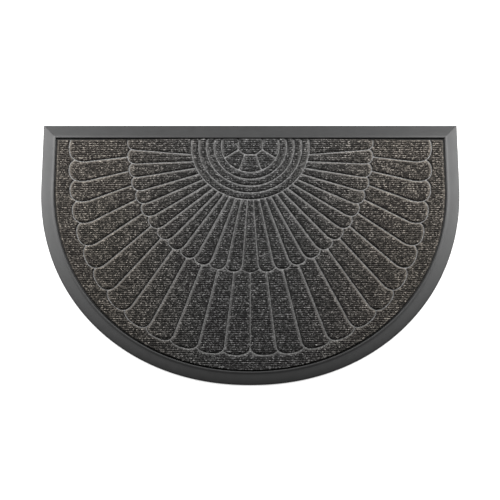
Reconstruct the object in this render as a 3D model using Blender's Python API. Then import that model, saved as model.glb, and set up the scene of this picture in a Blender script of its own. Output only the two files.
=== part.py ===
"""Half round doormat: a moulded rubber tray with a bevelled border and a pressed ribbed carpet.

The mat lies flat with its straight edge at +Y and its round side at -Y. The origin is on the
floor below the middle of the mat. Sizes are in millimetres and become metres in the meshes.
"""
import bmesh
import bpy
from math import asin, copysign, cos, degrees, hypot, pi, radians, sin

MM = 0.001

# Mat outline
MAT_WIDTH = 914.4
MAT_DEPTH = 609.6
STRAIGHT_SIDE = 147.0
ROUND_POWER_ACROSS = 2.094
ROUND_POWER_ALONG = 2.089
ROUND_STEPS = 22

# Rubber tray
RECESS_WIDTH = 861.0
RECESS_TOP_INSET = 32.0
RECESS_FOOT_INSET = 28.0
BACKING_THICK = 2.0
LIP_HEIGHT = 8.0
# Rings of the border: share of the way from the mat's outline to the recess, and height
BORDER_RINGS = (
    ("foot", 0.00, 0.0),
    ("edge", 0.00, 1.6),
    ("edge round", 0.03, 2.4),
    ("low bevel", 0.30, 4.3),
    ("high bevel", 0.84, 6.9),
    ("lip outside", 0.88, 7.7),
    ("lip crown", 0.93, LIP_HEIGHT),
    ("lip inside", 0.98, 7.7),
    ("recess wall", 1.00, 7.0),
    ("recess floor", 1.00, BACKING_THICK),
)

# Carpet
SEAT_GAP = 0.3
CARPET_WIDTH = 857.4
CARPET_TOP_INSET = 34.0
CARPET_FOOT_INSET = 30.5
CARPET_TOP = 8.0
PRESS_DEPTH = 2.4
EDGE_STEP = 1.0
ROOT_DEPTH = 0.8
GROOVE_WIDTH = 3.4

# Rings and hub of the fan
RING_CENTRE_Y = 253.5
RING_FIRST = 64.0
RING_PITCH = 16.6
RING_COUNT = 5
RING_STEP_ANGLE = 9.0
RING_STEPS = 40
HUB_STEPS = 15
# Angles that run past both ends of the left quarter of a ring
LEFT_QUARTER = (160.0, 280.0)
HUB_HALF_WIDTH = 26.5
HUB_SHOULDER_Y = 244.5
HUB_FOOT_HALF = 12.5
HUB_FOOT_Y = 232.5
SPOKE_ANGLES = (67.5, 27.5)
SPOKE_OVERRUN = 0.3

# Petals: two rows, each fanned out from its own point on the middle line. A row's reach is the
# half width, depth and power of the rounded outline that its tips touch.
INNER_FAN_Y = 221.0
INNER_SPREAD = 7.6
INNER_COUNT = 13
INNER_CAP = 22.0
INNER_REACH = (271.0, 320.0, 2.2)
OUTER_FAN_Y = 261.5
OUTER_SPREAD = 6.43
OUTER_SPREAD_GROWTH = 0.038
OUTER_COUNT = 13
OUTER_CAP = 20.0
OUTER_CAP_GROWTH = 16.0
OUTER_REACH = (399.0, 510.0, 2.46)
REACH_CENTRE_Y = 270.5
CAP_POWER = 2.4
CAP_SHARE = 0.54
CAP_STEPS = 11
TIP_STEPS = 5
START_RUN = 90.0
EDGE_PETAL_WIDEN = 1.25
TIP_ROUNDS = 4
HALVINGS = 40

# Longer than any line of the pattern
FAR = 500.0

MAT_TOP = MAT_DEPTH / 2
CARPET_EDGE_Y = MAT_TOP - CARPET_TOP_INSET
CUT_Y = CARPET_EDGE_Y - EDGE_STEP
HALF_GROOVE = GROOVE_WIDTH / 2
MIDDLE_LINE = [(0.0, FAR), (0.0, -FAR)]


# Flat geometry

def half_round(width, top_inset, foot_inset, side_inset=0.0):
    """Points of a half round outline, from the top left corner down, round and up again."""
    half = width / 2 - side_inset
    top = MAT_TOP - top_inset
    side_end = MAT_TOP - STRAIGHT_SIDE
    drop = MAT_DEPTH - STRAIGHT_SIDE - foot_inset
    left = [(-half, top)]
    for step in range(ROUND_STEPS + 1):
        turn = 0.5 * pi * step / ROUND_STEPS
        x = -half * cos(turn) ** (2 / ROUND_POWER_ACROSS) if step < ROUND_STEPS else 0.0
        left.append((x, side_end - drop * sin(turn) ** (2 / ROUND_POWER_ALONG)))
    return left + mirrored(left[:-1])


def mirrored(path):
    """The path on the other side of the middle line, run backwards."""
    return [(-x, y) for x, y in reversed(path)]


def shifted(path, distance):
    """The path moved sideways, to the right of its direction where distance is positive."""
    moved = []
    for index, (x, y) in enumerate(path):
        before = path[max(index - 1, 0)]
        after = path[min(index + 1, len(path) - 1)]
        normals = []
        for start, end in ((before, (x, y)), ((x, y), after)):
            length = hypot(end[0] - start[0], end[1] - start[1])
            if length > 0:
                normals.append(((end[1] - start[1]) / length, (start[0] - end[0]) / length))
        nx = sum(normal[0] for normal in normals)
        ny = sum(normal[1] for normal in normals)
        stretch = distance * len(normals) / (nx * nx + ny * ny)
        moved.append((x + nx * stretch, y + ny * stretch))
    return moved


def arc(centre_y, radius, start, end, steps):
    """Points of an arc round a point on the middle line. Angles are in degrees."""
    turns = [radians(start + (end - start) * step / steps) for step in range(steps + 1)]
    return [(radius * cos(turn), centre_y + radius * sin(turn)) for turn in turns]


def crossing(first, second):
    """Where the first path meets the second: the step and point on each, nearest its start."""
    for i, ((ax, ay), (bx, by)) in enumerate(zip(first, first[1:])):
        hits = []
        for j, ((cx, cy), (dx, dy)) in enumerate(zip(second, second[1:])):
            spread = (bx - ax) * (dy - cy) - (by - ay) * (dx - cx)
            if spread == 0:
                continue
            along = ((cx - ax) * (dy - cy) - (cy - ay) * (dx - cx)) / spread
            across = ((cx - ax) * (by - ay) - (cy - ay) * (bx - ax)) / spread
            if 0 <= along <= 1 and 0 <= across <= 1:
                point = (ax + (bx - ax) * along, ay + (by - ay) * along)
                hits.append((along, i, j, point))
        if hits:
            return min(hits)[1:]
    raise ValueError("two sides of a cell do not meet")


def enclosed(sides):
    """The outline that a ring of crossing paths shuts in, each trimmed at its neighbours."""
    corners = [crossing(side, sides[(n + 1) % len(sides)]) for n, side in enumerate(sides)]
    outline = []
    for n, side in enumerate(sides):
        start = corners[n - 1][1] + 1
        end = corners[n][0]
        outline.append(corners[n - 1][2])
        outline.extend(side[start:end + 1])
    return outline


def whole(half):
    """The full outline of a field whose left half starts and ends on the middle line."""
    return half + mirrored(half)[1:-1]


def bent(value, power, sign=None):
    """The size of a value raised to a power, with the value's sign or another one."""
    return copysign(abs(value) ** power, value if sign is None else sign)


# Fan pattern

def reach_along(origin, heading, reach):
    """How far a ray runs from its origin before it leaves the reach of a row of petals."""
    half_across, half_along, power = reach
    near, far = 0.0, FAR
    for _ in range(HALVINGS):
        middle = (near + far) / 2
        x = origin[0] + heading[0] * middle
        y = origin[1] + heading[1] * middle - REACH_CENTRE_Y
        inside = abs(x / half_across) ** power + abs(y / half_along) ** power < 1
        near, far = (middle, far) if inside else (near, middle)
    return near


def outward(point, reach):
    """Unit direction that points straight out of the reach of a row at one of its points."""
    half_across, half_along, power = reach
    nx = bent(point[0] / half_across, power - 1) / half_across
    ny = bent((point[1] - REACH_CENTRE_Y) / half_along, power - 1) / half_along
    length = hypot(nx, ny)
    return nx / length, ny / length


def petal_path(fan_y, angle, width_angle, cap_length, reach):
    """The groove under a petal on the left side: its straight run, its lower corner, its tip.

    The round tip faces straight out of the row, and the straight run meets it on a tangent.
    """
    along = (-cos(radians(angle)), -sin(radians(angle)))
    below = (-along[1], along[0])
    half_cap = CAP_SHARE * reach_along((0.0, fan_y), along, reach) * radians(width_angle)
    curve = CAP_POWER / (CAP_POWER - 1)
    out = along
    for _ in range(TIP_ROUNDS):
        up = (out[1], -out[0])
        lean_out = below[0] * out[0] + below[1] * out[1]
        lean_up = below[0] * up[0] + below[1] * up[1]
        room = (abs(cap_length * lean_out) ** curve + abs(half_cap * lean_up) ** curve) ** (1 / curve)
        start = (out[0] * cap_length - below[0] * room, fan_y + out[1] * cap_length - below[1] * room)
        run = reach_along(start, along, reach)
        tip = (start[0] + along[0] * run, start[1] + along[1] * run)
        out = outward(tip, reach)
    up = (out[1], -out[0])
    first_turn = bent(asin((cap_length * abs(lean_out) / room) ** (curve / 2)), 1.0, lean_out)
    path = [(along[0] * START_RUN, fan_y + along[1] * START_RUN)]
    for step in range(CAP_STEPS + 1):
        turn = first_turn + (pi - first_turn) * step / CAP_STEPS
        rise = cap_length * (bent(sin(turn), 2 / CAP_POWER) - 1)
        side = -half_cap * bent(cos(turn), 2 / CAP_POWER)
        path.append((tip[0] + out[0] * rise + up[0] * side, tip[1] + out[1] * rise + up[1] * side))
    path.append((path[-1][0] - out[0] * cap_length, path[-1][1] - out[1] * cap_length))
    return path


def inner_paths():
    """Grooves of the inner row on the left, from the straight edge to the middle line."""
    paths = []
    for index in reversed(range(INNER_COUNT)):
        angle = 90 - INNER_SPREAD * (index + 0.5)
        paths.append(petal_path(INNER_FAN_Y, angle, INNER_SPREAD, INNER_CAP, INNER_REACH))
    return paths


def outer_paths():
    """Grooves of the outer row on the left. Its petals grow wider towards the round side."""
    paths = []
    for index in reversed(range(OUTER_COUNT)):
        angle = 90 - OUTER_SPREAD * index - OUTER_SPREAD_GROWTH * index ** 2
        width = OUTER_SPREAD + OUTER_SPREAD_GROWTH * (2 * index + 1)
        if index == OUTER_COUNT - 1:
            width *= EDGE_PETAL_WIDEN
        cap = OUTER_CAP + OUTER_CAP_GROWTH * (index / OUTER_COUNT) ** 2
        paths.append(petal_path(OUTER_FAN_Y, angle, width, cap, OUTER_REACH))
    return paths


def middle_tip():
    """The tip of the inner petal on the middle line, from left to right."""
    half_cap = CAP_SHARE * INNER_REACH[1] * radians(INNER_SPREAD)
    foot = REACH_CENTRE_Y - INNER_REACH[1]
    left = []
    for step in range(TIP_STEPS + 1):
        turn = 0.5 * pi * step / TIP_STEPS
        side = cos(turn) ** (2 / CAP_POWER) if step < TIP_STEPS else 0.0
        left.append((-half_cap * side, foot + INNER_CAP * (1 - sin(turn) ** (2 / CAP_POWER))))
    return left + mirrored(left[:-1])


def edge_cut(direction):
    """The line that trims the pattern along the straight edge, run left (-1) or right (1)."""
    return [(-FAR * direction, CUT_Y), (FAR * direction, CUT_Y)]


def petal_cells():
    """Raised fields of both rows, with the field on the middle line."""
    inner = inner_paths()
    outer = outer_paths()
    ring_radius = RING_FIRST + RING_PITCH * (RING_COUNT - 1) + HALF_GROOVE
    ring = arc(RING_CENTRE_Y, ring_radius, *LEFT_QUARTER, RING_STEPS)
    inside = [shifted(path, HALF_GROOVE) for path in inner]
    outside = [shifted(path, -HALF_GROOVE)[::-1] for path in inner]
    cells = [enclosed([inside[0], edge_cut(1), ring])]
    for upper, own in zip(outside, inside[1:]):
        cells.append(enclosed([own, upper, ring]))
    tip = middle_tip()
    half_ring = arc(RING_CENTRE_Y, ring_radius, *LEFT_QUARTER[::-1], RING_STEPS)
    half = enclosed([half_ring, outside[-1][::-1], shifted(tip, -HALF_GROOVE), MIDDLE_LINE[::-1]])
    middle = whole(half)
    tips = outside + [shifted(tip, HALF_GROOVE)[::-1]]

    inside = [shifted(path, HALF_GROOVE) for path in outer]
    outside = [shifted(path, -HALF_GROOVE)[::-1] for path in outer]
    cells.append(enclosed([inside[0], edge_cut(1), tips[0], tips[1]]))
    for index in range(1, OUTER_COUNT):
        cells.append(enclosed([inside[index], outside[index - 1], tips[index], tips[index + 1]]))
    return cells, middle, outside


def margin_cell(outer_sides):
    """The plain carpet between the petals and the border."""
    border = half_round(CARPET_WIDTH, 0.0, CARPET_FOOT_INSET + EDGE_STEP, EDGE_STEP)
    left_border = [point for point in border if point[0] <= 0][::-1]
    start = [(EDGE_STEP, left_border[0][1])]
    return whole(enclosed([start + left_border, edge_cut(1)] + outer_sides + [MIDDLE_LINE]))


def ring_cells():
    """Raised bands between the ring grooves, open at the straight edge."""
    rise = CUT_Y - RING_CENTRE_Y
    cells = []
    for index in range(RING_COUNT - 1):
        near = RING_FIRST + RING_PITCH * index + HALF_GROOVE
        far = RING_FIRST + RING_PITCH * (index + 1) - HALF_GROOVE
        band = []
        for radius, way in ((far, 1), (near, -1)):
            over = degrees(asin(rise / radius))
            steps = round((180 + 2 * over) / RING_STEP_ANGLE)
            band.extend(arc(RING_CENTRE_Y, radius, 180 - over, 360 + over, steps)[::way])
        cells.append(band)
    return cells


def hub_cells():
    """The half hub and the fields round it: those beside it on the left, then the middle ones."""
    rim = [
        (HUB_FOOT_HALF, HUB_FOOT_Y),
        (-HUB_FOOT_HALF, HUB_FOOT_Y),
        (-HUB_HALF_WIDTH, HUB_SHOULDER_Y),
        (-HUB_HALF_WIDTH, FAR),
    ]
    rim_outside = shifted(rim, -HALF_GROOVE)
    ring = arc(RING_CENTRE_Y, RING_FIRST - HALF_GROOVE, *LEFT_QUARTER, HUB_STEPS)
    over = []
    under = []
    for (x, y), angle in zip(rim[1:3], SPOKE_ANGLES):
        turn = radians(180 + angle)
        reach_x = RING_FIRST * cos(turn) - x
        reach_y = RING_CENTRE_Y + RING_FIRST * sin(turn) - y
        ends = (-SPOKE_OVERRUN, 1 + SPOKE_OVERRUN)
        spoke = [(x + reach_x * share, y + reach_y * share) for share in ends]
        over.append(shifted(spoke, HALF_GROOVE)[::-1])
        under.append(shifted(spoke, -HALF_GROOVE))
    beside = enclosed([rim_outside, edge_cut(-1), ring, over[1]])
    below = enclosed([rim_outside, under[1], ring, over[0]])
    foot = whole(enclosed([rim_outside, under[0], ring, MIDDLE_LINE[::-1]]))
    hub = whole(enclosed([shifted(rim, HALF_GROOVE), edge_cut(1), MIDDLE_LINE]))
    return [beside, below], [foot, hub]


def carpet_cells():
    """All raised fields of the carpet, each an outline."""
    petals, middle, outer_sides = petal_cells()
    hub_sides, hub_middle = hub_cells()
    one_side = petals + hub_sides
    cells = one_side + [mirrored(cell) for cell in one_side]
    cells.extend([middle, margin_cell(outer_sides)])
    return cells + hub_middle + ring_cells()


# Solids

def finish(name, color, roughness):
    """A plain finish for one sub-part."""
    material = bpy.data.materials.new(name)
    material.use_nodes = True
    shader = material.node_tree.nodes["Principled BSDF"]
    shader.inputs["Base Color"].default_value = (*color, 1.0)
    shader.inputs["Roughness"].default_value = roughness
    shader.inputs["Metallic"].default_value = 0.0
    return material


def add_object(name, mesh_builder, material):
    """A named object whose mesh is closed, with its faces pointing out."""
    bmesh.ops.recalc_face_normals(mesh_builder, faces=mesh_builder.faces)
    mesh = bpy.data.meshes.new(name)
    mesh_builder.to_mesh(mesh)
    mesh_builder.free()
    mesh.materials.append(material)
    new_object = bpy.data.objects.new(name, mesh)
    bpy.context.scene.collection.objects.link(new_object)
    return new_object


def add_prism(mesh_builder, outline, low, high):
    """Add an upright prism on the outline to the mesh being built."""
    foot = [mesh_builder.verts.new((x * MM, y * MM, low * MM)) for x, y in outline]
    head = [mesh_builder.verts.new((x * MM, y * MM, high * MM)) for x, y in outline]
    mesh_builder.faces.new(foot)
    mesh_builder.faces.new(head)
    for index in range(len(outline)):
        mesh_builder.faces.new((foot[index - 1], foot[index], head[index], head[index - 1]))


def rubber_tray():
    """Backing, bevelled border, lip and recess, lofted through rings from edge to recess."""
    edge = half_round(MAT_WIDTH, 0.0, 0.0)
    recess = half_round(RECESS_WIDTH, RECESS_TOP_INSET, RECESS_FOOT_INSET)
    builder = bmesh.new()
    rings = []
    for _, share, height in BORDER_RINGS:
        ring = []
        for (ex, ey), (rx, ry) in zip(edge, recess):
            x = ex + (rx - ex) * share
            y = ey + (ry - ey) * share
            ring.append(builder.verts.new((x * MM, y * MM, height * MM)))
        rings.append(ring)
    for low, high in zip(rings, rings[1:]):
        for index in range(len(low)):
            builder.faces.new((low[index - 1], low[index], high[index], high[index - 1]))
    builder.faces.new(rings[0])
    builder.faces.new(rings[-1])
    return add_object("rubber_tray", builder, finish("black_rubber", (0.085, 0.085, 0.088), 0.62))


def ribbed_carpet():
    """The carpet as a thin sheet, with its raised fields joined on between the grooves."""
    low = BACKING_THICK + SEAT_GAP
    groove_floor = CARPET_TOP - PRESS_DEPTH
    pile = finish("charcoal_carpet", (0.082, 0.077, 0.070), 0.95)
    sheet = bmesh.new()
    add_prism(sheet, half_round(CARPET_WIDTH, CARPET_TOP_INSET, CARPET_FOOT_INSET), low, groove_floor)
    carpet = add_object("ribbed_carpet", sheet, pile)
    fields = bmesh.new()
    for outline in carpet_cells():
        add_prism(fields, outline, groove_floor - ROOT_DEPTH, CARPET_TOP)
    raised = add_object("raised_fields", fields, pile)
    raised.hide_render = True
    raised.display_type = "WIRE"
    union = carpet.modifiers.new("Raised fields", "BOOLEAN")
    union.operation = "UNION"
    union.solver = "EXACT"
    union.object = raised
    return carpet


for old in list(bpy.data.objects):
    bpy.data.objects.remove(old)
rubber_tray()
ribbed_carpet()
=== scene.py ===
# %% [markdown]
# # A half round doormat
# The real mat is one rubber moulding with a ribbed carpet laid in its recess. A hot plate presses
# a fan of petals into the carpet: the pile stays raised and ribbed in each field, and melts to
# smooth light grey lines between them. The solids hold those forms already, so this script
# starts from them and adds what makes them look like carpet and rubber.

# %% Frame
from math import cos, pi, radians, sin

import bmesh
import bpy
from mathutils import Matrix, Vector
from mathutils.geometry import delaunay_2d_cdt


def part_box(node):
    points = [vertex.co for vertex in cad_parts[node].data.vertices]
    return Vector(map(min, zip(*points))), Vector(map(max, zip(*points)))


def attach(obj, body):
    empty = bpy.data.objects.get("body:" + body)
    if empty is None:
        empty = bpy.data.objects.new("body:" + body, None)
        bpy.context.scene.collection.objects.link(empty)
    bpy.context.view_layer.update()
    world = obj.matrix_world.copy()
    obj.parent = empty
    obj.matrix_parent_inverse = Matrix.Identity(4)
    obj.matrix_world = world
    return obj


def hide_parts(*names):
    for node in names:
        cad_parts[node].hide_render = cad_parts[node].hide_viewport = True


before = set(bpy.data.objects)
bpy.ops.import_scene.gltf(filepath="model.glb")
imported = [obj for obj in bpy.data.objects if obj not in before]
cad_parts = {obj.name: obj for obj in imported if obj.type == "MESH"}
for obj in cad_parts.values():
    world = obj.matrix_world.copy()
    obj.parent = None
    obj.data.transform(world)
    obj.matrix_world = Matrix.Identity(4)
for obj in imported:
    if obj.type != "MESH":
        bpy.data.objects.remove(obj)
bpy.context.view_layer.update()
MM = 0.001
TRAY_LOW, TRAY_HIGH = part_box("rubber_tray")
CARPET_LOW, CARPET_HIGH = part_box("ribbed_carpet")
print("mat", [round((high - low) / MM, 1) for low, high in zip(TRAY_LOW, TRAY_HIGH)], "mm")

# %% [markdown]
# ## The camera
# The photograph looks down on the mat from its round side, about 66 degrees above the floor,
# through a long lens: the straight edge is only a little shorter than the widest part.

# %% Camera
VIEW_ELEVATION = radians(66.4)
VIEW_DISTANCE = 4.60
VIEW_TARGET = Vector((-0.0006, 0.0052, 0.0))
LENS = 153.4

camera_data = bpy.data.cameras.new("camera")
camera_data.lens = LENS
camera_data.sensor_width = 36.0
camera = bpy.data.objects.new("camera", camera_data)
view_back = Vector((0.0, -cos(VIEW_ELEVATION), sin(VIEW_ELEVATION)))
camera.location = VIEW_TARGET + VIEW_DISTANCE * view_back
camera.rotation_euler = (pi / 2 - VIEW_ELEVATION, 0.0, 0.0)
bpy.context.scene.collection.objects.link(camera)
bpy.context.scene.camera = camera
bpy.context.scene.view_settings.view_transform = "Standard"
print("camera at", [round(value, 2) for value in camera.location])

# %% [markdown]
# ## Studio light
# The left and right borders shine and the round front is dark, so the light comes from two soft
# boxes, left and right, a little behind the straight edge. A weak sky lifts the shadows, and
# the camera sees a brighter backdrop than the mat is lit by, as behind a studio table.

# %% Light
SOFT_BOX_PLACE = (0.86, 0.66, 0.52)
SOFT_BOX_SIZE = (0.95, 1.15)
SOFT_BOX_POWER = 41.0
SOFT_BOX_AIM = 0.12
SKY_STRENGTH = 0.25
BACKDROP_STRENGTH = 0.93

for side in (-1, 1):
    lamp_data = bpy.data.lights.new(f"soft_box_{side}", "AREA")
    lamp_data.shape = "RECTANGLE"
    lamp_data.size, lamp_data.size_y = SOFT_BOX_SIZE
    lamp_data.energy = SOFT_BOX_POWER
    lamp = bpy.data.objects.new(f"soft_box_{side}", lamp_data)
    lamp.location = (side * SOFT_BOX_PLACE[0], SOFT_BOX_PLACE[1], SOFT_BOX_PLACE[2])
    towards = Vector((side * SOFT_BOX_AIM, 0.0, 0.0)) - lamp.location
    lamp.rotation_euler = towards.to_track_quat("-Z", "Y").to_euler()
    bpy.context.scene.collection.objects.link(lamp)

world = bpy.data.worlds.new("sky")
world.use_nodes = True
sky = world.node_tree.nodes["Background"]
sky.inputs["Color"].default_value = (1.0, 1.0, 1.0, 1.0)
sky.inputs["Strength"].default_value = SKY_STRENGTH
backdrop = world.node_tree.nodes.new("ShaderNodeBackground")
backdrop.inputs["Strength"].default_value = BACKDROP_STRENGTH
seen = world.node_tree.nodes.new("ShaderNodeLightPath")
sky_mix = world.node_tree.nodes.new("ShaderNodeMixShader")
world.node_tree.links.new(seen.outputs["Is Camera Ray"], sky_mix.inputs[0])
world.node_tree.links.new(sky.outputs[0], sky_mix.inputs[1])
world.node_tree.links.new(backdrop.outputs[0], sky_mix.inputs[2])
world.node_tree.links.new(sky_mix.outputs[0], world.node_tree.nodes["World Output"].inputs[0])
bpy.context.scene.world = world
print("two soft boxes of", SOFT_BOX_POWER, "watts, and a sky of", SKY_STRENGTH)

# %% [markdown]
# ## Node arithmetic
# Both the shaders and the Geometry Nodes trees are sums of simple terms. A wrapped socket that
# understands + - * / lets them be read as formulas, and one maker adds every other node.

# %% Nodes as expressions
class Term:
    """One output of a node. Arithmetic on it adds Math nodes to its tree."""

    def __init__(self, maker, socket):
        self.maker = maker
        self.socket = socket

    def __add__(self, other):
        return self.maker.math("ADD", self, other)

    def __radd__(self, other):
        return self.maker.math("ADD", other, self)

    def __sub__(self, other):
        return self.maker.math("SUBTRACT", self, other)

    def __rsub__(self, other):
        return self.maker.math("SUBTRACT", other, self)

    def __mul__(self, other):
        return self.maker.math("MULTIPLY", self, other)

    def __rmul__(self, other):
        return self.maker.math("MULTIPLY", other, self)

    def __truediv__(self, other):
        return self.maker.math("DIVIDE", self, other)


class Maker:
    """Adds nodes to one tree: their settings first, then the values or links of their sockets."""

    def __init__(self, tree):
        self.tree = tree

    def add(self, kind, settings=None, sockets=None, output=0):
        node = self.tree.nodes.new(kind)
        for name, value in (settings or {}).items():
            if name == "stops":
                self.set_ramp(node.color_ramp, value)
            else:
                setattr(node, name, value)
        for name, value in (sockets or {}).items():
            self.feed(node.inputs[name], value)
        return Term(self, node.outputs[output])

    def math(self, operation, *values):
        return self.add("ShaderNodeMath", {"operation": operation}, dict(enumerate(values)))

    def feed(self, socket, value):
        if isinstance(value, Term):
            self.tree.links.new(value.socket, socket)
        else:
            socket.default_value = value

    def set_ramp(self, ramp, stops):
        while len(ramp.elements) < len(stops):
            ramp.elements.new(1.0)
        for element, (place, color) in zip(ramp.elements, stops):
            element.position = place
            element.color = color

    def step(self, value, low, high):
        """0 below low, 1 above high, smooth between."""
        sockets = {"Value": value, "From Min": low, "From Max": high}
        return self.add("ShaderNodeMapRange", {"interpolation_type": "SMOOTHSTEP"}, sockets)

    def blend(self, share, first, second):
        """A colour between two colours."""
        settings = {"data_type": "RGBA"}
        return self.add("ShaderNodeMix", settings, {0: share, 6: first, 7: second}, output=2)


def grey(value, warmth=0.0):
    """A grey, warmer where warmth is above 0."""
    return (value * (1 + warmth), value, value * (1 - warmth), 1.0)


# %% [markdown]
# ## The half round rule
# The mat's outline is a straight edge, two straight sides, and half of a rounded rectangle that
# is close to an ellipse. The same rule with other insets gives the recess and the carpet, and it
# also tells how far any place is from the carpet's edge, which the rubber lip keeps in shade.

# %% Half round outlines
MAT_WIDTH = 914.4
MAT_DEPTH = 609.6
STRAIGHT_SIDE = 147.0
ROUND_POWER_ACROSS = 2.094
ROUND_POWER_ALONG = 2.089
ROUND_STEPS = 90
MITRE_WIDTH = 1.6
MAT_TOP = MAT_DEPTH / 2


def half_round(width, top_inset, foot_inset):
    """Places in millimetres on a half round outline, from the top left corner round to the right."""
    half = width / 2
    side_end = MAT_TOP - STRAIGHT_SIDE
    drop = MAT_DEPTH - STRAIGHT_SIDE - foot_inset
    left = [(-half, MAT_TOP - top_inset), (-half, MAT_TOP - top_inset - MITRE_WIDTH)]
    for step in range(ROUND_STEPS):
        turn = 0.5 * pi * step / ROUND_STEPS
        across = half * cos(turn) ** (2 / ROUND_POWER_ACROSS)
        left.append((-across, side_end - drop * sin(turn) ** (2 / ROUND_POWER_ALONG)))
    left.insert(0, (MITRE_WIDTH - half, MAT_TOP - top_inset))
    return left + [(0.0, side_end - drop)] + [(-x, y) for x, y in reversed(left)]


def carpet_edge_distance(x, y):
    """Metres from a place inward to the carpet's own edge, by its rule. Negative outside."""
    down = max(0.0, SIDE_END - y) / CARPET_DROP
    powers = (abs(x) / CARPET_HALF) ** ROUND_POWER_ACROSS + down ** ROUND_POWER_ALONG
    reach = powers ** (1 / ROUND_POWER_ALONG)
    radius = Vector((x, min(0.0, y - SIDE_END))).length
    return min((1 - reach) * radius / max(reach, 0.001), CARPET_HIGH_Y - y)


CARPET_WIDTH = 857.4
CARPET_INSETS = (34.0, 30.5)
GROUND_SIDE_GAP = 0.7
GROUND_TOP_GAP = 0.2
SIDE_END = (MAT_TOP - STRAIGHT_SIDE) * MM
CARPET_HALF = CARPET_WIDTH / 2 * MM
CARPET_DROP = (MAT_DEPTH - STRAIGHT_SIDE - CARPET_INSETS[1]) * MM
CARPET_HIGH_Y = (MAT_TOP - CARPET_INSETS[0]) * MM
ground_width = CARPET_WIDTH - 2 * GROUND_SIDE_GAP
ground_outline = half_round(ground_width, CARPET_INSETS[0] + GROUND_TOP_GAP, CARPET_INSETS[1])
print("carpet's edge", len(ground_outline), "points round")

# %% [markdown]
# ## Finding the pressed fields
# The raised fields are the highest flat faces of the carpet's solid. A merged copy of its mesh
# gives their outlines, so the pile sits exactly where the solid has it. Each outline keeps its
# sharp corners and is rounded between them, because the solid's curves have few steps.

# %% Field outlines
CORNER_ANGLE = radians(38.0)
STRAIGHT_RUN = 60.0 * MM
LONG_RUN_RATIO = 4
ROUNDING_STEP = 2.0 * MM
LEVEL_TOLERANCE = 0.05 * MM
CLOSEST_POINTS = 0.3 * MM
CORNER_CUT = 2.6 * MM
FIELD_GROWTH = 0.65 * MM
EDGE_GROWTH = 0.3 * MM
SIDE_SHRINK = 2.1 * MM
SIDE_REACH = 0.4


def merged_copy(node):
    """A mesh with the node's faces, joined at their edges."""
    builder = bmesh.new()
    builder.from_mesh(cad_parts[node].data)
    bmesh.ops.remove_doubles(builder, verts=builder.verts, dist=0.01 * MM)
    return builder


def loops_at(builder, height):
    """Closed outlines of the flat faces that look up at a height, as lists of places."""
    level = set()
    for face in builder.faces:
        if all(abs(vert.co.z - height) < LEVEL_TOLERANCE for vert in face.verts):
            level.add(face)
    following = {}
    for face in level:
        for loop in face.loops:
            if sum(other in level for other in loop.edge.link_faces) == 1:
                following[loop.vert] = loop.link_loop_next.vert
    outlines = []
    while following:
        start, vert = next(iter(following.items()))
        outline = [start.co.copy()]
        del following[start]
        while vert is not start:
            outline.append(vert.co.copy())
            vert = following.pop(vert)
        outlines.append([place.xy for place in outline])
    return outlines


def curve_direction(back, ahead):
    """Direction of the curve at a point, or None at a sharp corner."""
    if abs(back.angle_signed(ahead, 0.0)) > CORNER_ANGLE:
        return None
    if ahead.length > min(STRAIGHT_RUN, back.length * LONG_RUN_RATIO):
        return ahead.normalized()
    if back.length > min(STRAIGHT_RUN, ahead.length * LONG_RUN_RATIO):
        return back.normalized()
    return (back.normalized() * ahead.length + ahead.normalized() * back.length).normalized()


def rounded(outline):
    """The outline with smooth curves between its sharp corners."""
    points = []
    for index, point in enumerate(outline):
        if (point - outline[index - 1]).length > CLOSEST_POINTS:
            points.append(point)
    count = len(points)
    runs = [points[(index + 1) % count] - points[index] for index in range(count)]
    directions = [curve_direction(runs[index - 1], runs[index]) for index in range(count)]
    fine = []
    for index, run in enumerate(runs):
        following = (index + 1) % count
        straight = run.length > STRAIGHT_RUN
        leave = run if straight or directions[index] is None else directions[index] * run.length
        arrive = run if straight or directions[following] is None else directions[following] * run.length
        steps = max(1, round(run.length / ROUNDING_STEP))
        for step in range(steps):
            t = step / steps
            point = points[index] * (2 * t ** 3 - 3 * t ** 2 + 1)
            point += points[following] * (3 * t ** 2 - 2 * t ** 3)
            fine.append(point + leave * (t ** 3 - 2 * t ** 2 + t) + arrive * (t ** 3 - t ** 2))
    return fine


def with_soft_corners(outline):
    """The outline with each sharp corner between two long sides turned into a small curve."""
    soft = []
    for index, point in enumerate(outline):
        before = outline[index - 1] - point
        after = outline[(index + 1) % len(outline)] - point
        turn = abs(before.angle_signed(-after, 0.0))
        cut = min(CORNER_CUT, before.length * 0.45, after.length * 0.45)
        if turn < CORNER_ANGLE or cut < CLOSEST_POINTS:
            soft.append(point)
            continue
        first = point + before.normalized() * cut
        last = point + after.normalized() * cut
        soft.extend((first, (first + last) / 4 + point / 2, last))
    return soft


def grown(outline):
    """The outline moved outwards, and inwards where it is the carpet's own edge at the sides."""
    moved = []
    for index, point in enumerate(outline):
        along = (outline[(index + 1) % len(outline)] - outline[index - 1]).normalized()
        inside = min(1.0, max(0.0, carpet_edge_distance(*point) / (2 * MM) - 0.75))
        edge_step = EDGE_GROWTH - SIDE_SHRINK * min(1.0, abs(point.x) / SIDE_REACH)
        step = FIELD_GROWTH * inside + edge_step * (1 - inside)
        moved.append(point + Vector((along.y, -along.x)) * step)
    return moved


carpet_copy = merged_copy("ribbed_carpet")
FIELD_TOP = CARPET_HIGH[2]
field_outlines = []
for outline in loops_at(carpet_copy, FIELD_TOP):
    field_outlines.append(grown(rounded(with_soft_corners(outline))))
levels = sorted({round(vert.co.z / MM, 2) for vert in carpet_copy.verts})
carpet_copy.free()
print(len(field_outlines), "fields; the carpet's levels are", levels, "mm")
print(sum(len(outline) for outline in field_outlines), "points on their outlines")

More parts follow.
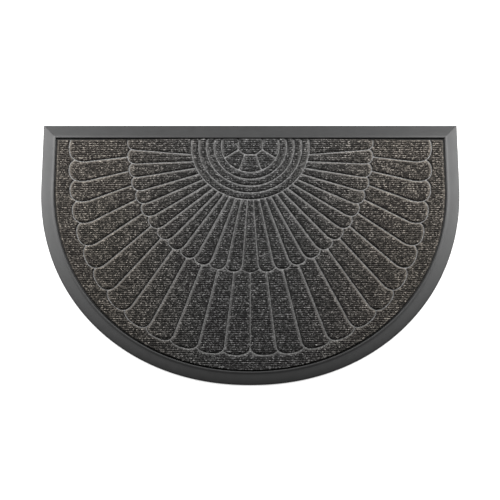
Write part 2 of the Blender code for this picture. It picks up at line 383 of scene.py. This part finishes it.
# %% [markdown]
# ## Heather carpet
# The pile is made of charcoal, brown and light fibres, so its colour is a fine speckle and not
# one grey. Two patterns give it: small cells pick a colour for each tuft, and a fine noise
# scatters single pale fibres. The bottoms of the ribs are painted darker, as shade, because
# little light gets there. Painted light and shade lie on the groove flanks: pale where a flank
# faces the soft boxes, dark where it faces away. The cut edge under the rubber lip is painted in
# shade, and painted light makes the carpet a little browner and paler towards the left and right.

# %% Carpet materials
def new_material(name):
    """A material, the maker of its tree, and its Principled BSDF."""
    material = bpy.data.materials.new(name)
    material.use_nodes = True
    maker = Maker(material.node_tree)
    return material, maker, material.node_tree.nodes["Principled BSDF"]


def object_place(maker, scale):
    """Object coordinates in metres, multiplied by a scale along each axis."""
    place = maker.add("ShaderNodeTexCoord", output=3)
    return maker.add("ShaderNodeVectorMath", {"operation": "MULTIPLY"}, {0: place, 1: scale})


def noise(maker, scale, stretch=(1.0, 1.0, 1.0), detail=2.0, roughness=0.5):
    """A noise from about 0.25 to 0.75, with its features 1 / scale metres apart."""
    sockets = {"Vector": object_place(maker, stretch), "Scale": scale}
    sockets.update({"Detail": detail, "Roughness": roughness})
    return maker.add("ShaderNodeTexNoise", None, sockets)


def edge_distance(maker):
    """Metres inward to the carpet's edge, as carpet_edge_distance has it."""
    place = maker.add("ShaderNodeTexCoord", output=3)
    x = maker.math("ABSOLUTE", maker.add("ShaderNodeSeparateXYZ", None, {0: place}, output=0))
    y = maker.add("ShaderNodeSeparateXYZ", None, {0: place}, output=1)
    down = maker.math("MAXIMUM", SIDE_END - y, 0.0)
    across_share = maker.math("POWER", x / CARPET_HALF, ROUND_POWER_ACROSS)
    down_share = maker.math("POWER", down / CARPET_DROP, ROUND_POWER_ALONG)
    reach = maker.math("POWER", across_share + down_share, 1 / ROUND_POWER_ALONG)
    radius = maker.math("SQRT", x * x + down * down)
    inward = (1.0 - reach) * radius / maker.math("MAXIMUM", reach, 0.001)
    return maker.math("MINIMUM", inward, CARPET_HIGH_Y - y)


TUFT_SCALE = 430.0
FIBRE_SCALE = 900.0
SIDE_LIGHT_TINT = (1.27, 1.15, 1.0)
SIDE_SHADE = 3.6 * MM
TUFT_STOPS = [
    (0.05, grey(0.003, 0.02)),
    (0.34, grey(0.009, 0.02)),
    (0.56, grey(0.024, 0.02)),
    (0.76, grey(0.068, 0.01)),
    (0.94, grey(0.260, 0.01)),
]

pile, pile_maker, pile_shader = new_material("heather_pile")
tuft_cells = pile_maker.add(
    "ShaderNodeTexVoronoi",
    None,
    {"Vector": object_place(pile_maker, (0.9, 1.0, 0.3)), "Scale": TUFT_SCALE},
    output=1,
)
tuft_pick = pile_maker.add("ShaderNodeSeparateColor", None, {"Color": tuft_cells})
fibres = noise(pile_maker, FIBRE_SCALE, (0.6, 1.0, 1.0), 3.0, 0.7)
yarn = tuft_pick * 0.7 + fibres * 0.9 - 0.3
tuft_color = pile_maker.add("ShaderNodeValToRGB", {"stops": TUFT_STOPS}, {"Fac": yarn})
patches = noise(pile_maker, 30.0, detail=1.0)
valley = pile_maker.add("ShaderNodeAttribute", {"attribute_name": "valley"}, output=2)
lean = pile_maker.add("ShaderNodeAttribute", {"attribute_name": "lean"}, output=2)
across = pile_maker.add("ShaderNodeSeparateXYZ", None, {0: pile_maker.add("ShaderNodeTexCoord", output=3)})
side_share = pile_maker.step(pile_maker.math("ABSOLUTE", across), 0.05, 0.34)
inside = pile_maker.step(edge_distance(pile_maker) - side_share * SIDE_SHADE, 0.2 * MM, 1.8 * MM)
ribbed_color = pile_maker.blend(valley * 0.92, tuft_color, grey(0.003))
patched = pile_maker.blend((patches - 0.3) * 0.5, ribbed_color, grey(0.007))
# Painted light and shade: where a groove's flank faces the soft boxes the pile is painted paler, where it
# faces away it is painted dark.
painted_shade_share = pile_maker.math("MAXIMUM", 0.0 - lean, 0.0) * inside
painted_light_share = pile_maker.math("MAXIMUM", lean, 0.0) * inside
flank_shaded_color = pile_maker.blend(painted_shade_share * 0.92, patched, grey(0.003))
flank_lit_color = pile_maker.blend(painted_light_share * 0.75, flank_shaded_color, grey(0.105, 0.01))
rim_color = pile_maker.blend(inside * 0.8 + 0.2, grey(0.003), flank_lit_color)
# Painted light: the pile is painted paler and browner towards the left and the right, where the side soft
# boxes light it.
side_lit_color = pile_maker.add("ShaderNodeVectorMath", {"operation": "MULTIPLY"}, {0: rim_color, 1: SIDE_LIGHT_TINT})
pile_color = pile_maker.blend(side_share, rim_color, side_lit_color)
pile_maker.feed(pile_shader.inputs["Base Color"], pile_color)
pile_shader.inputs["Roughness"].default_value = 0.92
pile_shader.inputs["Specular IOR Level"].default_value = 0.12
pile_bump = pile_maker.add("ShaderNodeBump", None, {"Strength": 0.7, "Distance": 0.9 * MM, "Height": yarn})
pile_maker.feed(pile_shader.inputs["Normal"], pile_bump)

fused, fused_maker, fused_shader = new_material("fused_groove")
fused_spots = noise(fused_maker, 260.0, detail=2.0)
fused_share = fused_maker.step(fused_spots, 0.35, 0.65)
fused_color = fused_maker.blend(fused_share, grey(0.075, 0.01), grey(0.170, 0.01))
# Darker within a few millimetres of the carpet's edge: partly the cut edge's own dark pile, partly painted
# shade under the rubber lip.
fused_inside = fused_maker.step(edge_distance(fused_maker), 2.4 * MM, 3.6 * MM)
fused_shade = fused_maker.blend(fused_inside, grey(0.004), fused_color)
fused_maker.feed(fused_shader.inputs["Base Color"], fused_shade)
fused_shader.inputs["Roughness"].default_value = 0.6
fused_shader.inputs["Specular IOR Level"].default_value = 0.2
fused_bump = fused_maker.add(
    "ShaderNodeBump", None, {"Strength": 0.7, "Distance": 0.6 * MM, "Height": fused_spots}
)
fused_maker.feed(fused_shader.inputs["Normal"], fused_bump)
print("materials", pile.name, "and", fused.name)

# %% [markdown]
# ## The ribs
# Every raised field has the same ribs, 5 mm apart and level with the straight edge, and they run
# on from field to field. A Geometry Nodes tree lifts them from a flat mesh by rule: it moves each
# point by its distance along Y, rolls the field down towards its outline, and pulls walls from
# the outline down into the groove. Where the outline is the carpet's cut edge it hardly rolls.
# The flat mesh is filled with rows of points first, six to a rib, so the ribs have something to
# bend. Two numbers are kept for the shader: how deep a point is between two ribs, and how much a
# groove's flank faces the soft box on its side, for painted light and shade.

# %% Rib tree
RIB_PITCH = 5.0 * MM
RIB_HEIGHT = 1.3 * MM
RIB_WANDER = 0.5 * MM
TUFT_HEIGHT = 0.7 * MM
EDGE_ROLL = 5.0 * MM
EDGE_DROP = 3.0 * MM
EDGE_WAVER = 0.35 * MM
PRESSED_FLOOR = 4.3 * MM
WALL_FOOT = PRESSED_FLOOR - 0.5 * MM


def new_geometry_tree(name, sizes):
    """A Geometry Nodes tree with a geometry input and one named number input for each size."""
    tree = bpy.data.node_groups.new(name, "GeometryNodeTree")
    tree.interface.new_socket("Geometry", in_out="OUTPUT", socket_type="NodeSocketGeometry")
    tree.interface.new_socket("Geometry", in_out="INPUT", socket_type="NodeSocketGeometry")
    identifiers = {}
    for size in sizes:
        socket = tree.interface.new_socket(size, in_out="INPUT", socket_type="NodeSocketFloat")
        identifiers[size] = socket.identifier
    maker = Maker(tree)
    group_in = tree.nodes.new("NodeGroupInput")
    inputs = {socket.name: Term(maker, socket) for socket in group_in.outputs if socket.name}
    return tree, maker, inputs, identifiers


def end_tree(maker, geometry, material):
    """Realize Instances, Set Material and the group's output."""
    real = maker.add("GeometryNodeRealizeInstances", None, {"Geometry": geometry})
    painted = maker.add("GeometryNodeSetMaterial", None, {"Geometry": real, "Material": material})
    output = maker.tree.nodes.new("NodeGroupOutput")
    maker.feed(output.inputs[0], painted)


def store(maker, geometry, name, value):
    """The geometry with a number kept on its points, for the shader."""
    sockets = {"Geometry": geometry, "Name": name, "Value": value}
    return maker.add("GeometryNodeStoreNamedAttribute", {"data_type": "FLOAT"}, sockets)


RIB_SIZES = {
    "Rib Pitch": RIB_PITCH,
    "Rib Height": RIB_HEIGHT,
    "Rib Wander": RIB_WANDER,
    "Tuft Height": TUFT_HEIGHT,
    "Edge Roll": EDGE_ROLL,
    "Edge Drop": EDGE_DROP,
    "Edge Waver": EDGE_WAVER,
    "Wall Foot": WALL_FOOT,
}
rib_tree, ribs, rib_in, rib_keys = new_geometry_tree("ribs", RIB_SIZES)
place = ribs.add("GeometryNodeInputPosition")
place_x = ribs.add("ShaderNodeSeparateXYZ", None, {0: place}, output=0)
place_y = ribs.add("ShaderNodeSeparateXYZ", None, {0: place}, output=1)
place_z = ribs.add("ShaderNodeSeparateXYZ", None, {0: place}, output=2)
wander = ribs.add("ShaderNodeTexNoise", None, {"Vector": place, "Scale": 40.0, "Detail": 1.0})
rib_phase = (place_y + (wander - 0.5) * rib_in["Rib Wander"] * 2.0) / rib_in["Rib Pitch"]
ridge = ribs.math("ABSOLUTE", ribs.math("SINE", rib_phase * pi))
rim_test = ribs.add("FunctionNodeCompare", {"data_type": "INT", "operation": "EQUAL"}, {
    "A": ribs.add("GeometryNodeInputMeshEdgeNeighbors"),
    "B": 1,
})
rim = ribs.add("GeometryNodeSeparateGeometry", {"domain": "EDGE"}, {
    "Geometry": rib_in["Geometry"],
    "Selection": rim_test,
})
rim_distance = ribs.add("GeometryNodeProximity", {"target_element": "EDGES"}, {0: rim}, output=1)
nearness = 1.0 - ribs.math("MINIMUM", rim_distance / rib_in["Edge Roll"], 1.0)
rim_point = ribs.add("GeometryNodeSampleNearest", {"domain": "POINT"}, {"Geometry": rim})
rim_facing = ribs.add("GeometryNodeSampleIndex", {"data_type": "FLOAT_VECTOR", "domain": "POINT"}, {
    "Geometry": rim,
    "Value": ribs.add("GeometryNodeInputNamedAttribute", {"data_type": "FLOAT_VECTOR"}, {"Name": "facing"}),
    "Index": rim_point,
})
pressed = ribs.add("ShaderNodeVectorMath", {"operation": "LENGTH"}, {0: rim_facing}, output=1)
roll = nearness * nearness * pressed
tufts = ribs.add("ShaderNodeTexNoise", None, {"Vector": place, "Scale": 330.0, "Detail": 2.0})
tuft_rise = (tufts - 0.5) * rib_in["Tuft Height"] * 2.0 * (1.0 - nearness * 0.8)
crest = place_z - (1.0 - ridge) * rib_in["Rib Height"] * (1.0 - nearness * 0.7)
new_z = crest - roll * rib_in["Edge Drop"] + tuft_rise
waver = ribs.add("ShaderNodeTexNoise", None, {"Vector": place, "Scale": 380.0, "Detail": 1.0}, output=1)
waver_x = ribs.add("ShaderNodeSeparateXYZ", None, {0: waver}, output=0)
waver_y = ribs.add("ShaderNodeSeparateXYZ", None, {0: waver}, output=1)
waver_size = nearness * rib_in["Edge Waver"] * 4.0
new_place = ribs.add("ShaderNodeCombineXYZ", None, {
    0: place_x + (waver_x - 0.5) * waver_size,
    1: place_y + (waver_y - 0.5) * waver_size,
    2: new_z,
})
# Painted light and shade on the groove flanks: how much each rim faces the soft box on its side of the mat,
# kept for the pile's colour.
side = ribs.math("MINIMUM", ribs.math("MAXIMUM", place_x / 0.06, -1.0), 1.0)
lamp_direction = ribs.add("ShaderNodeCombineXYZ", None, {0: side * 0.74, 1: 0.67, 2: 0.0})
facing_share = ribs.add(
    "ShaderNodeVectorMath", {"operation": "DOT_PRODUCT"}, {0: rim_facing, 1: lamp_direction}, output=1
)
kept_valley = store(ribs, rib_in["Geometry"], "valley", (1.0 - ridge) * (1.0 - nearness))
kept_light_facing = store(ribs, kept_valley, "lean", facing_share * nearness)
lifted = ribs.add("GeometryNodeSetPosition", None, {"Geometry": kept_light_facing, "Position": new_place})
walled = ribs.add("GeometryNodeExtrudeMesh", {"mode": "EDGES"}, {
    "Mesh": lifted,
    "Selection": rim_test,
    "Offset Scale": 0.0,
})
wall_ends = Term(ribs, walled.socket.node.outputs["Top"])
foot_place = ribs.add("ShaderNodeCombineXYZ", None, {0: place_x, 1: place_y, 2: rib_in["Wall Foot"]})
standing = ribs.add("GeometryNodeSetPosition", None, {
    "Geometry": walled,
    "Selection": wall_ends,
    "Position": foot_place,
})
end_tree(ribs, standing, pile)
print("tree", rib_tree.name, "has", len(rib_tree.nodes), "nodes")

# %% [markdown]
# ## Filling the fields
# Each outline is filled with rows of points by a Delaunay triangulation, which keeps the outline
# as it is. The fields are grouped as the fan is: two rows of petals, the rings with the hub, and
# the plain margin outside them.

# %% Pile pieces
ROW_STEP = RIB_PITCH / 6
COLUMN_STEP = 2.5 * MM
OUTLINE_CLEARANCE = 0.4 * MM


def crossings(outline, y):
    """Sorted X of the places where a closed outline crosses a row."""
    found = []
    for index, end in enumerate(outline):
        start = outline[index - 1]
        if (start.y > y) != (end.y > y):
            found.append(start.x + (y - start.y) / (end.y - start.y) * (end.x - start.x))
    return sorted(found)


def row_places(outline):
    """Places inside an outline, in rows along X."""
    low = min(point.y for point in outline)
    high = max(point.y for point in outline)
    places = []
    for row in range(int(low / ROW_STEP) - 1, int(high / ROW_STEP) + 2):
        y = row * ROW_STEP
        rows = [crossings(outline, y + offset) for offset in (-OUTLINE_CLEARANCE, 0, OUTLINE_CLEARANCE)]
        if not all(rows):
            continue
        for left, right in zip(rows[1][::2], rows[1][1::2]):
            first = int((left + OUTLINE_CLEARANCE) / COLUMN_STEP) - 1
            last = int((right - OUTLINE_CLEARANCE) / COLUMN_STEP) + 1
            for column in range(first, last + 1):
                x = column * COLUMN_STEP
                if not left + OUTLINE_CLEARANCE < x < right - OUTLINE_CLEARANCE:
                    continue
                if all(sum(cross < x for cross in crossed) % 2 for crossed in rows):
                    places.append(Vector((x, y)))
    return places


def facings(outline):
    """The direction out of the field at each point of its outline, short where the edge is cut."""
    directions = []
    for index, point in enumerate(outline):
        along = (outline[(index + 1) % len(outline)] - outline[index - 1]).normalized()
        length = 1.0 if carpet_edge_distance(*point) > 2.4 * MM else 0.2
        directions.append((along.y * length, -along.x * length, 0.0))
    return directions


def flat_fields(name, outlines):
    """A flat mesh that fills some outlines, and knows which way their rims face."""
    points, triangles, facing = [], [], []
    for outline in outlines:
        given = outline + row_places(outline)
        found = delaunay_2d_cdt(given, [], [list(range(len(outline)))], 1, 1e-7)
        out = facings(outline) + [(0.0, 0.0, 0.0)] * (len(given) - len(outline))
        base = len(points)
        points.extend((point.x, point.y, FIELD_TOP) for point in found[0])
        triangles.extend([base + index for index in face] for face in found[2])
        facing.extend(out[sources[0]] if sources else (0.0, 0.0, 0.0) for sources in found[3])
    mesh = bpy.data.meshes.new(name)
    mesh.from_pydata(points, [], triangles)
    attribute = mesh.attributes.new("facing", "FLOAT_VECTOR", "POINT")
    attribute.data.foreach_set("vector", [value for direction in facing for value in direction])
    return mesh


def applied(source, name):
    """A plain mesh object with the result of the source's modifiers. The source is removed."""
    bpy.context.view_layer.update()
    graph = bpy.context.evaluated_depsgraph_get()
    mesh = bpy.data.meshes.new_from_object(source.evaluated_get(graph), depsgraph=graph)
    bpy.data.objects.remove(source)
    mesh.name = name
    piece = bpy.data.objects.new(name, mesh)
    bpy.context.scene.collection.objects.link(piece)
    return piece


def with_tree(mesh, name, tree, keys, sizes):
    """A plain mesh object made by a Geometry Nodes tree from a mesh."""
    source = bpy.data.objects.new("source", mesh)
    bpy.context.scene.collection.objects.link(source)
    modifier = source.modifiers.new("nodes", "NODES")
    modifier.node_group = tree
    for size, value in sizes.items():
        modifier[keys[size]] = value
    return applied(source, name)


def group_of(outline):
    """The group of the fan that a field belongs to."""
    left = min(point.x for point in outline)
    right = max(point.x for point in outline)
    low = min(point.y for point in outline)
    if right - left > 700 * MM:
        return "margin"
    middle = Vector(((left + right) / 2, (low + max(point.y for point in outline)) / 2))
    from_hub = (middle - Vector((0.0, 253.5 * MM))).length
    if from_hub < 80 * MM:
        return "rings"
    long_way = Vector((middle.x / 300, (middle.y - 0.2535) / 340)).length * 1000
    return "inner_petals" if long_way < 0.86 else "outer_petals"


groups = {}
for outline in field_outlines:
    groups.setdefault(group_of(outline), []).append(outline)
pile_pieces = []
for group, outlines in sorted(groups.items()):
    flat_mesh = flat_fields("flat_" + group, outlines)
    piece = with_tree(flat_mesh, "pile_" + group, rib_tree, rib_keys, RIB_SIZES)
    for polygon in piece.data.polygons:
        polygon.use_smooth = True
    pile_pieces.append(piece)
    triangle_count = sum(len(polygon.vertices) - 2 for polygon in piece.data.polygons)
    print(piece.name, len(outlines), "fields,", triangle_count, "triangles")

# %% [markdown]
# ## The ground of the carpet
# Between the fields the carpet is melted to a smooth, light grey floor. It is one sheet under all
# the fields, a closed slab. Its outline is just inside the carpet's own, so it clears the lip.

# %% Solid pieces
def new_piece(name, builder, material):
    """An object from a bmesh, with its material."""
    mesh = bpy.data.meshes.new(name)
    bmesh.ops.recalc_face_normals(builder, faces=builder.faces)
    builder.to_mesh(mesh)
    builder.free()
    mesh.materials.append(material)
    piece = bpy.data.objects.new(name, mesh)
    bpy.context.scene.collection.objects.link(piece)
    return piece


def ring_of(builder, outline, height):
    return [builder.verts.new((x * MM, y * MM, height * MM)) for x, y in outline]


def loft(builder, rings):
    """Closes a stack of rings into a solid."""
    for low, high in zip(rings, rings[1:]):
        for index in range(len(low)):
            builder.faces.new((low[index - 1], low[index], high[index], high[index - 1]))
    builder.faces.new(rings[0])
    builder.faces.new(rings[-1])


# %% Carpet ground
ground_builder = bmesh.new()
ground_heights = (CARPET_LOW[2] / MM, PRESSED_FLOOR / MM)
ground_rings = [ring_of(ground_builder, ground_outline, height) for height in ground_heights]
loft(ground_builder, ground_rings)
carpet_ground = new_piece("carpet_ground", ground_builder, fused)
print("ground", len(carpet_ground.data.polygons), "faces")

# %% [markdown]
# ## The rubber tray
# Border, lip and backing are one moulding, so they are one closed mesh: rings from the foot of
# the outer edge up the bevel, over the thin raised lip and down into the recess. Every ring has
# the outline's own corners, which gives the crease across each corner of the straight side. The
# recess is one or two millimetres smaller than the solid's, which is nearer to the photograph.

# %% Tray material
rubber, rubber_maker, rubber_shader = new_material("black_rubber")
mottle = noise(rubber_maker, 60.0, detail=4.0, roughness=0.6)
grain = noise(rubber_maker, 900.0, detail=2.0)
rubber_color = rubber_maker.blend(mottle, grey(0.009, -0.01), grey(0.014, -0.01))
rubber_maker.feed(rubber_shader.inputs["Base Color"], rubber_color)
rubber_maker.feed(rubber_shader.inputs["Roughness"], 0.46 + mottle * 0.16)
rubber_shader.inputs["Specular IOR Level"].default_value = 0.34
rubber_bump = rubber_maker.add(
    "ShaderNodeBump", None, {"Strength": 0.35, "Distance": 0.2 * MM, "Height": grain}
)
rubber_maker.feed(rubber_shader.inputs["Normal"], rubber_bump)

# %% Tray
RECESS_WIDTH = 857.2
RECESS_INSETS = (33.2, 28.0)
TRAY_RINGS = (
    (0.00, 0.0), (0.00, 1.7), (0.01, 2.1), (0.03, 2.45), (0.12, 3.25), (0.30, 4.5), (0.57, 5.75),
    (0.74, 6.3), (0.79, 6.6), (0.85, 7.4), (0.89, 7.85), (0.93, 8.0), (0.965, 7.92), (0.99, 7.5),
    (1.00, 6.8), (1.00, 3.0), (1.00, 2.0),
)
MITRE_RISE = 0.45 * MM
tray_edge = half_round(MAT_WIDTH, 0.0, 0.0)
tray_recess = half_round(RECESS_WIDTH, *RECESS_INSETS)
tray_builder = bmesh.new()
tray_rings = []
for share, height in TRAY_RINGS:
    outline = [
        (ex + (rx - ex) * share, ey + (ry - ey) * share)
        for (ex, ey), (rx, ry) in zip(tray_edge, tray_recess)
    ]
    ring = ring_of(tray_builder, outline, height)
    if 0.02 < share < 0.85:
        for corner in (ring[1], ring[-2]):
            corner.co.z += MITRE_RISE
    tray_rings.append(ring)
loft(tray_builder, tray_rings)
tray = new_piece("rubber_border", tray_builder, rubber)
for polygon in tray.data.polygons:
    polygon.use_smooth = len(polygon.vertices) == 4
tray.data.set_sharp_from_angle(angle=CORNER_ANGLE)
print("tray", len(tray.data.polygons), "faces")

# %% [markdown]
# ## The floor
# A plain pale floor, larger than any view needs. It shines a little, so that it stays white
# around the mat, and it is clear from below, so that the underside can be looked at.

# %% Floor
FLOOR_SIZE = 6.0
FLOOR_DROP = 0.3 * MM
FLOOR_SHINE = 0.64
floor_builder = bmesh.new()
bmesh.ops.create_grid(floor_builder, x_segments=1, y_segments=1, size=FLOOR_SIZE)
for vert in floor_builder.verts:
    vert.co.z = -FLOOR_DROP
floor_finish, floor_maker, floor_shader = new_material("pale_floor")
floor_tone = floor_maker.blend(noise(floor_maker, 2.0), grey(0.38), grey(0.42))
floor_maker.feed(floor_shader.inputs["Base Color"], floor_tone)
floor_shader.inputs["Roughness"].default_value = 0.9
floor_shader.inputs["Emission Color"].default_value = (1.0, 1.0, 1.0, 1.0)
floor_shader.inputs["Emission Strength"].default_value = FLOOR_SHINE
below = floor_maker.add("ShaderNodeNewGeometry", output=6)
clear = floor_maker.add("ShaderNodeBsdfTransparent")
floor_sides = floor_maker.add("ShaderNodeMixShader", None, {
    0: below,
    1: Term(floor_maker, floor_shader.outputs[0]),
    2: clear,
})
floor_maker.feed(floor_finish.node_tree.nodes["Material Output"].inputs[0], floor_sides)
floor = new_piece("floor", floor_builder, floor_finish)
print("floor", 2 * FLOOR_SIZE, "m wide")

# %% [markdown]
# ## Riding on the frame
# Every piece rides on the one body. The tray stands for the tray's solid, and the ground and the
# fields stand for the carpet's solid. The carpet's area is worked out from the outline that it is
# cut to.


def outline_area(outline):
    """Area in square metres inside an outline in millimetres."""
    pairs = zip(outline, outline[1:] + outline[:1])
    return abs(sum(ax * by - bx * ay for (ax, ay), (bx, by) in pairs)) / 2 * MM * MM


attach(tray, "root")
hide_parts("rubber_tray")
for piece in [carpet_ground, *pile_pieces]:
    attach(piece, "root")
    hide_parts("ribbed_carpet")
carpet_area = outline_area(ground_outline)
print("carpet area", round(carpet_area, 4), "square metres")
